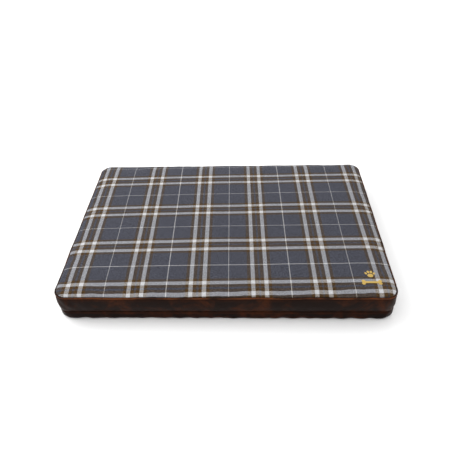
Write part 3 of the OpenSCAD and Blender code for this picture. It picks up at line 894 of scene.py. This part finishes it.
def pad_shape(edge_u, foot, high, fall, slack, seed, levels=12):
    """A closed pad: crowned top with a round edge, walls that pull in a little, and a flat foot."""
    half_x, half_y, radius = HALF_X + edge_u, HALF_Y + edge_u, CORNER_R + edge_u
    x, y, faces, edge = rounded_grid(half_x, half_y, radius)
    depth = np.clip(from_edge(x, y, half_x, half_y, radius) / 0.03, 0, 1)
    drift = np.array([noise.noise(Vector((px * 9, py * 9, seed))) for px, py in zip(x, y)])
    top_z = high - fall + fall * np.sqrt(1 - (1 - depth) ** 2) - slack * 0.5 * (drift + 1) * depth
    top = np.stack([x, y, top_z], 1)
    rim = top[edge]
    inner = np.stack([np.clip(rim[:, 0], radius - half_x, half_x - radius),
                      np.clip(rim[:, 1], radius - half_y, half_y - radius)], 1)
    outward = rim[:, :2] - inner
    outward = outward / np.linalg.norm(outward, axis=1)[:, None]
    rings = []
    for level in np.linspace(0, 1, levels)[1:]:
        z = (high - fall) * (1 - level) + (foot + 0.003) * level
        ripple = np.array([noise.noise(Vector((p[0] * 30, p[1] * 30, z * 40 + seed))) for p in rim])
        rings.append((-slack * math.sin(level * math.pi) ** 2 + 0.25 * slack * ripple, z))
    rings += [(-0.003, foot), (-0.05, foot)]
    points, last, count = [top], list(edge), len(edge)
    for out, z in rings:
        moved = rim[:, :2] + outward * np.reshape(np.minimum(out, 0), (-1, 1))
        first = sum(len(part) for part in points)
        points.append(np.concatenate([moved, np.full((count, 1), z)], 1))
        ring = list(range(first, first + count))
        faces += [(last[i], ring[i], ring[(i + 1) % count], last[(i + 1) % count]) for i in range(count)]
        last = ring
    faces.append(tuple(reversed(last)))
    return np.concatenate(points), faces


FILLING_U = -0.0180
FILLING_GAP = 0.0001
FILLING_FOOT = 0.0030
FILLING_SLACK = 0.0004
WADDING_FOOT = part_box("wadding")[0].z
MEMORY_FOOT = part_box("memory_foam")[0].z
SLEEVE_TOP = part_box("sleeve_top")[1].z - 0.0010

firm_foam = filling_material("base_foam", (0.42, 0.41, 0.35), (0.28, 0.26, 0.21), 700, 0.0003, 0.9)
slow_foam = filling_material("memory_foam", (0.48, 0.43, 0.27), (0.36, 0.30, 0.17), 900, 0.0002, 0.9)
fibre = filling_material("wadding", (0.52, 0.52, 0.50), (0.40, 0.40, 0.38), 260, 0.0008, 1.0)
for node_name, filling, low, high, fall in (
        ("base_foam", firm_foam, FILLING_FOOT, MEMORY_FOOT - FILLING_GAP, 0.002),
        ("memory_foam", slow_foam, MEMORY_FOOT + FILLING_GAP, WADDING_FOOT - FILLING_GAP, 0.003),
        ("wadding", fibre, WADDING_FOOT + FILLING_GAP, SLEEVE_TOP - 0.0022, 0.0062)):
    pad_points, pad_faces = pad_shape(FILLING_U, low, high, fall, FILLING_SLACK, 6.0, levels=4)
    pad = new_piece(f"{node_name}_pad", pad_points, pad_faces, filling)
    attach(pad, "cover_base")
    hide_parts(node_name)

sleeve_knit, sleeve_tree, sleeve_shader = new_material(
    "sleeve_knit", Roughness=0.95, Specular_IOR_Level=0.1)
sleeve_coords = by_place(sleeve_tree)
ribs = node(sleeve_tree, "ShaderNodeTexWave", {
    "Vector": sleeve_coords, "Scale": 95.0, "Distortion": 0.6, "Detail": 1.0, "Detail Scale": 4.0},
    bands_direction="X")
loops = node(sleeve_tree, "ShaderNodeTexVoronoi", {"Vector": sleeve_coords, "Scale": 800.0})
sleeve_shade = node(sleeve_tree, "ShaderNodeTexNoise", {"Vector": sleeve_coords, "Scale": 7.0})
sleeve_mixed = node(sleeve_tree, "ShaderNodeMath", {
    0: loops.outputs["Distance"], 1: 0.6, 2: sleeve_shade.outputs["Fac"]}, operation="MULTIPLY_ADD")
toned(sleeve_tree, sleeve_shader, sleeve_mixed.outputs[0], (0.24, 0.215, 0.17), (0.33, 0.305, 0.255))
sleeve_height = node(sleeve_tree, "ShaderNodeMath", {0: ribs.outputs["Fac"], 1: loops.outputs["Distance"]},
                     operation="ADD")
in_relief(sleeve_tree, sleeve_shader, sleeve_height.outputs[0], 0.5, 0.0003)

SLEEVE_U = -0.0148
SLEEVE_FOOT = 0.0021
SLEEVE_FALL = 0.0070
SLEEVE_SLACK = 0.0020
core_points, core_faces = pad_shape(
    SLEEVE_U, SLEEVE_FOOT, SLEEVE_TOP - 0.0002, SLEEVE_FALL, SLEEVE_SLACK, 4.0)
core_sleeve = new_piece("core_sleeve", core_points, core_faces, sleeve_knit)
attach(core_sleeve, "cover_base")
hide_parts("sleeve_top", "sleeve_base")

# The sleeve's top and walls are joined by an overlocked seam round the top edge
SLEEVE_SEAM_Z = SLEEVE_TOP - 0.0100
SEAM_R = 0.0008
seam_round = [(SLEEVE_U - 0.0003 + SEAM_R * math.cos(a), SLEEVE_SEAM_Z + SEAM_R * math.sin(a))
              for a in np.linspace(-math.pi, math.pi, 8)[:-1]]


def overlock_shape(along, t):
    """The small ridges of the overlock thread, and the seam's slow waver."""
    ridges = np.sin(2 * math.pi * along / 0.0042)
    return 0.00012 * ridges + 0 * t, 0.0006 * wave(along[:, 0], 0.11, 41)[:, None] + 0.00025 * ridges


sleeve_seam = sweep("sleeve_seam", 0, AROUND, seam_round, sleeve_knit, overlock_shape, step=0.0021,
                    closed_profile=True)
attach(sleeve_seam, "cover_base")

# --- Base panel --------------------------------------------------------------------------
# The underside: plain-woven black polyester, cut to the foot of the bed with round corners
# and sewn to the lower band just inside its turn.

base_cloth, base_tree, base_shader = new_material("base_cloth", Roughness=0.85, Specular_IOR_Level=0.2)
base_checks = node(base_tree, "ShaderNodeTexChecker", {
    "Vector": by_place(base_tree), "Scale": 1400.0,
    "Color1": (0.016, 0.015, 0.015, 1), "Color2": (0.030, 0.028, 0.027, 1)})
base_tree.links.new(base_checks.outputs["Color"], base_shader.inputs["Base Color"])
in_relief(base_tree, base_shader, base_checks.outputs["Fac"], 0.5, 0.0002)

BASE_CLOTH_T = 0.0006
base_half_x, base_half_y = HALF_X + FLANGE_EDGE_U, HALF_Y + FLANGE_EDGE_U
base_x, base_y, base_faces, base_edge = rounded_grid(base_half_x, base_half_y, CORNER_R + FLANGE_EDGE_U)
base_ripple = np.array([noise.noise(Vector((px * 12, py * 12, 9.0))) for px, py in zip(base_x, base_y)])
base_depth = from_edge(base_x, base_y, base_half_x, base_half_y, CORNER_R + FLANGE_EDGE_U)
base_z = 0.0012 + 0.0004 * (base_ripple - 1) * np.clip(base_depth / 0.03, 0, 1)
base_piece = new_piece("base_panel_cloth", np.stack([base_x, base_y, base_z], 1),
                       [tuple(reversed(f)) for f in base_faces], base_cloth)
thicken(base_piece, BASE_CLOTH_T, offset=1.0)
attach(base_piece, "cover_base")
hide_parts("base_panel")

# --- Zip tapes and teeth -----------------------------------------------------------------
# A continuous nylon coil zip goes round the back, the sides and both front corners. Each
# half is a woven tape sewn behind its lip, with a row of teeth along its free edge.

zip_cloth, zip_tree, zip_shader = new_material("zip_tape", Roughness=0.8, Specular_IOR_Level=0.25)
zip_strip = node(zip_tree, "ShaderNodeAttribute", attribute_name="strip").outputs["Vector"]
zip_weave = node(zip_tree, "ShaderNodeTexWave", {
    "Vector": zip_strip, "Scale": 260.0, "Distortion": 0.3}, bands_direction="DIAGONAL")
toned(zip_tree, zip_shader, zip_weave.outputs["Fac"], (0.014, 0.009, 0.007), (0.034, 0.024, 0.019))
in_relief(zip_tree, zip_shader, zip_weave.outputs["Fac"], 0.6, 0.0002)

nylon, nylon_tree, nylon_shader = new_material("zip_teeth", Specular_IOR_Level=0.4)
nylon_noise = node(nylon_tree, "ShaderNodeTexNoise", {"Vector": by_place(nylon_tree), "Scale": 300.0})
toned(nylon_tree, nylon_shader, nylon_noise.outputs["Fac"], (0.020, 0.012, 0.009), (0.040, 0.026, 0.020))
nylon_rough = node(nylon_tree, "ShaderNodeMapRange", {
    "Value": nylon_noise.outputs["Fac"], "To Min": 0.3, "To Max": 0.5}).outputs["Result"]
nylon_tree.links.new(nylon_rough, nylon_shader.inputs["Roughness"])


def row_tree(name, material):
    """Geometry nodes: small rounded parts spaced evenly along a line of edges, each turned to
    follow the line and to face outwards."""
    tree = bpy.data.node_groups.new(name, "GeometryNodeTree")
    face = tree.interface
    face.new_socket("Line", in_out="INPUT", socket_type="NodeSocketGeometry")
    for label in ("Spacing", "Length", "Width", "Depth", "Uneven turn"):
        face.new_socket(label, in_out="INPUT", socket_type="NodeSocketFloat")
    face.new_socket("Row", in_out="OUTPUT", socket_type="NodeSocketGeometry")
    given = node(tree, "NodeGroupInput").outputs
    path = node(tree, "GeometryNodeMeshToCurve", {"Mesh": given["Line"]})
    spaced = node(tree, "GeometryNodeResampleCurve", {
        "Curve": path.outputs["Curve"], "Length": given["Spacing"]}, mode="LENGTH")
    outward = node(tree, "GeometryNodeInputNamedAttribute", {"Name": "outward"}, data_type="FLOAT_VECTOR")
    tangent = node(tree, "GeometryNodeInputTangent")
    along = node(tree, "FunctionNodeAlignRotationToVector", {"Vector": tangent.outputs["Tangent"]}, axis="X")
    facing = node(tree, "FunctionNodeAlignRotationToVector", {
        "Rotation": along.outputs["Rotation"], "Vector": outward.outputs["Attribute"]},
        axis="Z", pivot_axis="X")
    wobble = node(tree, "FunctionNodeRandomValue", {2: -1.0, 3: 1.0, "Seed": 5}, data_type="FLOAT")
    amount = node(tree, "ShaderNodeMath", {
        0: wobble.outputs[1], 1: given["Uneven turn"]}, operation="MULTIPLY")
    spin = node(tree, "ShaderNodeCombineXYZ", {"Z": amount.outputs[0]})
    turned = node(tree, "FunctionNodeRotateRotation", {
        "Rotation": facing.outputs["Rotation"], "Rotate By": spin.outputs["Vector"]}, rotation_space="LOCAL")
    bead = node(tree, "GeometryNodeMeshUVSphere", {"Segments": 6, "Rings": 4, "Radius": 0.5})
    size = node(tree, "ShaderNodeCombineXYZ", {
        "X": given["Length"], "Y": given["Width"], "Z": given["Depth"]})
    row = node(tree, "GeometryNodeInstanceOnPoints", {
        "Points": spaced.outputs["Curve"], "Instance": bead.outputs["Mesh"],
        "Rotation": turned.outputs["Rotation"], "Scale": size.outputs["Vector"]})
    real = node(tree, "GeometryNodeRealizeInstances", {"Geometry": row.outputs["Instances"]})
    smooth = node(tree, "GeometryNodeSetShadeSmooth", {"Geometry": real.outputs["Geometry"]})
    coated = node(tree, "GeometryNodeSetMaterial", {
        "Geometry": smooth.outputs["Geometry"], "Material": material})
    node(tree, "NodeGroupOutput", {"Row": coated.outputs["Geometry"]})
    return tree


def run_nodes(piece, tree, **values):
    """Puts the piece through a geometry node tree with the given inputs and keeps the result."""
    made = piece.modifiers.new(tree.name, "NODES")
    made.node_group = tree
    sockets = {item.name: item.identifier for item in tree.interface.items_tree if item.in_out == "INPUT"}
    for label, value in values.items():
        made[sockets[label.replace("_", " ")]] = value
    apply_modifiers(piece)


def line_piece(name, points, outward, breaks=()):
    """A chain of edges through the points, broken before each index in breaks."""
    mesh = bpy.data.meshes.new(name)
    edges = [(i, i + 1) for i in range(len(points) - 1) if i + 1 not in breaks]
    mesh.from_pydata([tuple(p) for p in points], edges, [])
    facing = mesh.attributes.new("outward", "FLOAT_VECTOR", "POINT")
    facing.data.foreach_set("vector", np.asarray(outward, np.float32).ravel())
    piece = bpy.data.objects.new(name, mesh)
    bpy.context.scene.collection.objects.link(piece)
    return piece


TAPE_T = 0.0006
TAPE_U = -0.0072
TOOTH_PITCH = 0.0019
TOOTH_Z = 0.0031
TOOTH_DEPTH = 0.0013
TOOTH_U = -0.0060
zip_start = 2 * STRAIGHT_X - ZIP_END
zip_stop = AROUND + ZIP_END
ZIP_TUCK = 0.0020
tooth_rows = row_tree("tooth_row", nylon)


def zip_tuck(along):
    """The zip's ends are tucked in behind the closed lips of the front fold."""
    return ZIP_TUCK * (1 - eased((from_front(along) - STRAIGHT_X - 0.004) / 0.02))


def tape_shape(along, t):
    """Follows the tuck along the whole width of the tape."""
    return -zip_tuck(along[:, 0])[:, None] + 0 * t, 0 * t


for half_name, cad_name, body, low, high, tooth_middle, offset in (
        ("zip_half_lower", "lower", "cover_base", 0.0142, 0.0283, 0.0279, 0.0),
        ("zip_half_upper", "upper", "cover_top", 0.0297, 0.0438, 0.0301, TOOTH_PITCH / 2)):
    levels = np.linspace(low, high, 5)
    loop = [(TAPE_U + TAPE_T, z) for z in levels] + [(TAPE_U, z) for z in levels[::-1]]
    tape = sweep(half_name, zip_start, zip_stop, loop, zip_cloth, tape_shape, closed_profile=True,
                 step=0.006)
    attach(tape, body)
    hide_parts(f"zip_tape_{cad_name}")
    tooth_along = np.arange(zip_start + offset, zip_stop, 0.004)
    tooth_xy, tooth_out = on_outline(tooth_along)
    tooth_xy = tooth_xy + tooth_out * (TOOTH_U - zip_tuck(tooth_along))[:, None]
    tooth_points = np.concatenate([tooth_xy, np.full((len(tooth_xy), 1), tooth_middle)], 1)
    tooth_facing = np.concatenate([tooth_out, np.zeros((len(tooth_out), 1))], 1)
    teeth = line_piece(f"zip_teeth_{cad_name}", tooth_points, tooth_facing)
    run_nodes(teeth, tooth_rows, Spacing=TOOTH_PITCH, Length=0.00105, Width=TOOTH_Z, Depth=TOOTH_DEPTH,
              Uneven_turn=0.0)
    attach(teeth, body)
    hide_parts(f"zip_coil_{cad_name}")

# --- Topstitching ------------------------------------------------------------------------
# A row of 4 mm stitches in brown polyester thread, 3.5 mm back from each lip of the zip.
# It holds the lip's hem and the zip tape behind it.

thread, thread_tree, thread_shader = new_material("brown_thread", Roughness=0.6, Specular_IOR_Level=0.3)
thread_noise = node(thread_tree, "ShaderNodeTexNoise", {"Vector": by_place(thread_tree), "Scale": 900.0})
toned(thread_tree, thread_shader, thread_noise.outputs["Fac"], (0.030, 0.014, 0.008), (0.085, 0.042, 0.022))

STITCH_SPACING = 0.0042
STITCH_BACK = 0.0035
stitch_rows = row_tree("stitch_row", thread)


def surface_tree(pieces):
    """A search tree over the faces of several pieces."""
    points, faces = [], []
    for piece in pieces:
        first = len(points)
        points += [v.co.copy() for v in piece.data.vertices]
        faces += [[first + i for i in polygon.vertices] for polygon in piece.data.polygons]
    return BVHTree.FromPolygons(points, faces)


def stitched_line(name, strips, level, body):
    """A row of stitches laid on the strips' outer face at a height, round the zip's length."""
    surface = surface_tree(strips.values())
    along = np.arange(2 * STRAIGHT_X + ARC, AROUND - ARC, 0.002)
    xy, out = on_outline(along)
    points, facing = [], []
    for (px, py), (nx, ny) in zip(xy, out):
        start = Vector((px + nx * 0.03, py + ny * 0.03, level))
        place = surface.ray_cast(start, Vector((-nx, -ny, 0)), 0.06)[0]
        if place is not None:
            points.append(place - Vector((nx, ny, 0)) * 0.00005)
            facing.append((nx, ny, 0))
    row = line_piece(name, points, facing)
    run_nodes(row, stitch_rows, Spacing=STITCH_SPACING, Length=0.0033, Width=0.00075, Depth=0.0007,
              Uneven_turn=0.06)
    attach(row, body)


stitched_line("stitches_border", borders, SEAM_Z + ZIP_LIP_GAP + STITCH_BACK, "cover_top")
stitched_line("stitches_lower_band", bands, SEAM_Z - ZIP_LIP_GAP - STITCH_BACK, "cover_base")

# --- Zip sliders, pulls and end stops ----------------------------------------------------
# Die-cast zinc in antiqued brass. Two sliders meet at the middle of the back, each with a
# flat pull that hangs from its bail. A crimped stop closes each end of the teeth.

brass, brass_tree, brass_shader = new_material("antiqued_brass", Metallic=1.0)
brass_noise = node(brass_tree, "ShaderNodeTexNoise", {
    "Vector": by_place(brass_tree), "Scale": 260.0, "Detail": 4.0})
toned(brass_tree, brass_shader, brass_noise.outputs["Fac"], (0.12, 0.075, 0.035), (0.46, 0.32, 0.15))
brass_rough = node(brass_tree, "ShaderNodeMapRange", {
    "Value": brass_noise.outputs["Fac"], "To Min": 0.5, "To Max": 0.28}).outputs["Result"]
brass_tree.links.new(brass_rough, brass_shader.inputs["Roughness"])


def softened_copy(node_name, name, edge_round):
    """A copy of a hard part with its corners merged, then rounded, in brass."""
    built = bmesh.new()
    built.from_mesh(bpy.data.objects[node_name].data)
    bmesh.ops.remove_doubles(built, verts=built.verts, dist=0.000002)
    bmesh.ops.dissolve_limit(built, angle_limit=math.radians(1), verts=built.verts, edges=built.edges)
    mesh = bpy.data.meshes.new(name)
    built.to_mesh(mesh)
    built.free()
    mesh.materials.clear()
    mesh.materials.append(brass)
    piece = bpy.data.objects.new(name, mesh)
    bpy.context.scene.collection.objects.link(piece)
    bevel = piece.modifiers.new("edges", "BEVEL")
    bevel.width = edge_round
    bevel.segments = 2
    bevel.limit_method = "ANGLE"
    bevel.angle_limit = math.radians(35)
    bevel.harden_normals = True
    piece.data.polygons.foreach_set("use_smooth", [True] * len(piece.data.polygons))
    apply_modifiers(piece)
    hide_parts(node_name)
    return piece


for side_name in ("left", "right"):
    for part_name, edge_round in (("slider", 0.00018), ("pull", 0.00020)):
        body = f"{part_name}_{side_name}"
        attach(softened_copy(f"zip_{body}", f"{body}_brass", edge_round), body)
end_stops = softened_copy("zip_end_stops", "end_stops_brass", 0.00012)
end_stops.data.transform(Matrix.Translation((0, ZIP_TUCK, 0)))
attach(end_stops, "cover_base")

# --- Emblem ------------------------------------------------------------------------------
# A paw print over a bone, embroidered in satin stitch with gold viscose thread through the
# plaid of the front right corner.

gold, gold_tree, gold_shader = new_material("gold_thread", Roughness=0.38, Sheen_Weight=0.2)
gold_noise = node(gold_tree, "ShaderNodeTexNoise", {
    "Vector": by_place(gold_tree), "Scale": 700.0, "Detail": 2.0})
toned(gold_tree, gold_shader, gold_noise.outputs["Fac"], (0.33, 0.20, 0.022), (0.62, 0.42, 0.065))

EMBLEM_AT = sum(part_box("emblem"), Vector()) / 2
THREAD_R = 0.00030
ROW_GAP = 0.00050
RISE = 0.00055


def ellipse_spans(cx, cy, half_x, half_y, lean=0.0):
    """Satin stitches across a leaning ellipse: pairs of end points, row by row."""
    turned = Matrix.Rotation(lean, 2)
    spans = []
    for across in np.arange(-half_x + ROW_GAP / 2, half_x, ROW_GAP):
        reach = half_y * math.sqrt(max(0.0, 1 - (across / half_x) ** 2))
        ends = [turned @ Vector((across, side * reach)) + Vector((cx, cy)) for side in (-1, 1)]
        spans.append(ends)
    return spans


def bone_spans(cy, half_length, knob, shaft):
    """Upright satin stitches across a bone that lies along X."""
    spans = []
    for x in np.arange(-half_length + ROW_GAP / 2, half_length, ROW_GAP):
        from_knob = half_length - knob - abs(x)
        knob_reach = math.sqrt(max(0.0, knob ** 2 - from_knob ** 2)) if abs(from_knob) < knob else 0.0
        top = max(shaft, 0.82 * knob + knob_reach if knob_reach else shaft)
        notch = max(0.0, 0.82 * knob - knob_reach) if abs(x) > half_length - knob else 0.0
        if notch > 0:
            spans += [[Vector((x, cy + notch)), Vector((x, cy + top))],
                      [Vector((x, cy - top)), Vector((x, cy - notch))]]
        else:
            spans.append([Vector((x, cy - top)), Vector((x, cy + top))])
    return spans


satin = ellipse_spans(0.0, 0.0080, 0.0085, 0.0070)
satin += ellipse_spans(-0.0118, 0.0165, 0.0032, 0.0047, 0.45)
satin += ellipse_spans(-0.0043, 0.0222, 0.0035, 0.0053, 0.12)
satin += ellipse_spans(0.0043, 0.0222, 0.0035, 0.0053, -0.12)
satin += ellipse_spans(0.0118, 0.0165, 0.0032, 0.0047, -0.45)
satin += bone_spans(-0.0185, 0.029, 0.0052, 0.0034)

panel_surface = surface_tree([panel])
satin_points, satin_breaks = [], []
for start, end in satin:
    satin_breaks.append(len(satin_points))
    for step_share in (0.0, 0.12, 0.5, 0.88, 1.0):
        flat = start.lerp(end, step_share)
        above = Vector((EMBLEM_AT.x + flat.x, EMBLEM_AT.y + flat.y, 0.2))
        place = panel_surface.ray_cast(above, Vector((0, 0, -1)))[0]
        arch = RISE * min(1.0, 4.6 * step_share * (1 - step_share)) - 0.0001
        satin_points.append(place + Vector((0, 0, arch)))

satin_tree = bpy.data.node_groups.new("satin_stitch", "GeometryNodeTree")
satin_tree.interface.new_socket("Line", in_out="INPUT", socket_type="NodeSocketGeometry")
satin_tree.interface.new_socket("Thread radius", in_out="INPUT", socket_type="NodeSocketFloat")
satin_tree.interface.new_socket("Stitches", in_out="OUTPUT", socket_type="NodeSocketGeometry")
satin_given = node(satin_tree, "NodeGroupInput").outputs
satin_path = node(satin_tree, "GeometryNodeMeshToCurve", {"Mesh": satin_given["Line"]})
satin_ring = node(satin_tree, "GeometryNodeCurvePrimitiveCircle", {
    "Resolution": 5, "Radius": satin_given["Thread radius"]})
satin_tube = node(satin_tree, "GeometryNodeCurveToMesh", {
    "Curve": satin_path.outputs["Curve"], "Profile Curve": satin_ring.outputs["Curve"], "Fill Caps": True})
satin_real = node(satin_tree, "GeometryNodeRealizeInstances", {"Geometry": satin_tube.outputs["Mesh"]})
satin_smooth = node(satin_tree, "GeometryNodeSetShadeSmooth", {"Geometry": satin_real.outputs["Geometry"]})
satin_coated = node(satin_tree, "GeometryNodeSetMaterial", {
    "Geometry": satin_smooth.outputs["Geometry"], "Material": gold})
node(satin_tree, "NodeGroupOutput", {"Stitches": satin_coated.outputs["Geometry"]})

emblem = line_piece("emblem_embroidery", satin_points, [(0, 0, 1)] * len(satin_points), set(satin_breaks))
run_nodes(emblem, satin_tree, Thread_radius=THREAD_R)
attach(emblem, "cover_top")
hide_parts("emblem")
